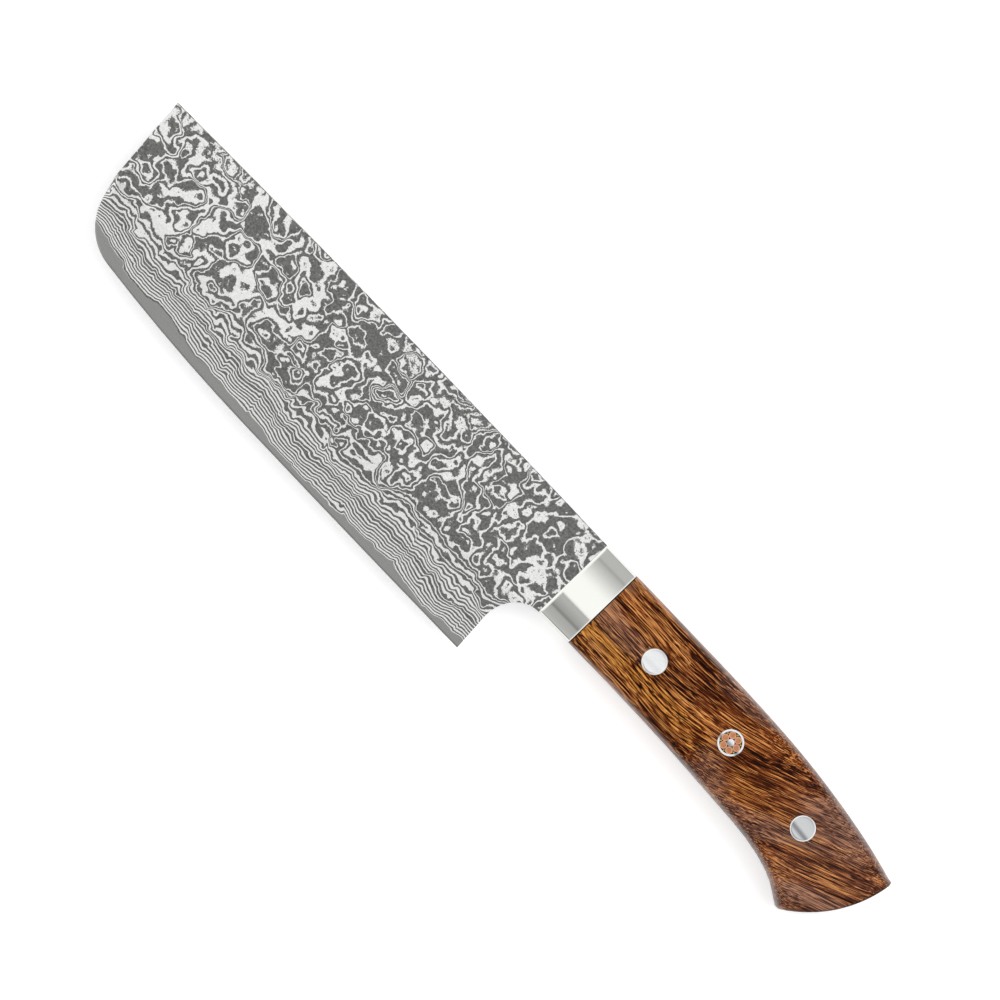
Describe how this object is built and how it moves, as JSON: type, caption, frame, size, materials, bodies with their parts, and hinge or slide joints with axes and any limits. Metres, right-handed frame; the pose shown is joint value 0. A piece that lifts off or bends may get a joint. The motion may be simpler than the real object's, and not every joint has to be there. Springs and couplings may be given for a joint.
{
  "type": "nakiri knife",
  "caption": "Nakiri vegetable knife: tall clad blade with patterned faces, steel bolster, full tang, polished wooden scales and a mosaic pin.",
  "frame": {"origin": "middle of the bottom of the bounding box, with the knife lying flat on its right side", "axes": "+X along the spine towards the butt, +Y from the cutting edge up to the spine, +Z out of the left face, the one pictured"},
  "size_m": [0.2976, 0.051, 0.0196],
  "materials": {
    "core_steel": "satin ground",
    "damascus_steel": "layered steel, etched dark and light",
    "bolster_steel": "mirror polished",
    "pin_steel": "polished",
    "ironwood": "oiled and buffed to a gloss",
    "copper": "polished copper",
    "brass": "polished",
    "resin": "black epoxy, polished flush"
  },
  "bodies": {
    "root": {"blade_core": "core_steel", "left_cladding": "damascus_steel", "right_cladding": "damascus_steel", "left_bolster": "bolster_steel", "right_bolster": "bolster_steel", "left_scale": "ironwood", "right_scale": "ironwood", "front_pin": "pin_steel", "rear_pin": "pin_steel", "mosaic_pin_tube": "pin_steel", "mosaic_centre_rod": "pin_steel", "mosaic_copper_tubes": "copper", "mosaic_brass_cores": "brass", "mosaic_brass_wires": "brass", "mosaic_resin": "resin"}
  },
  "joints": []
}
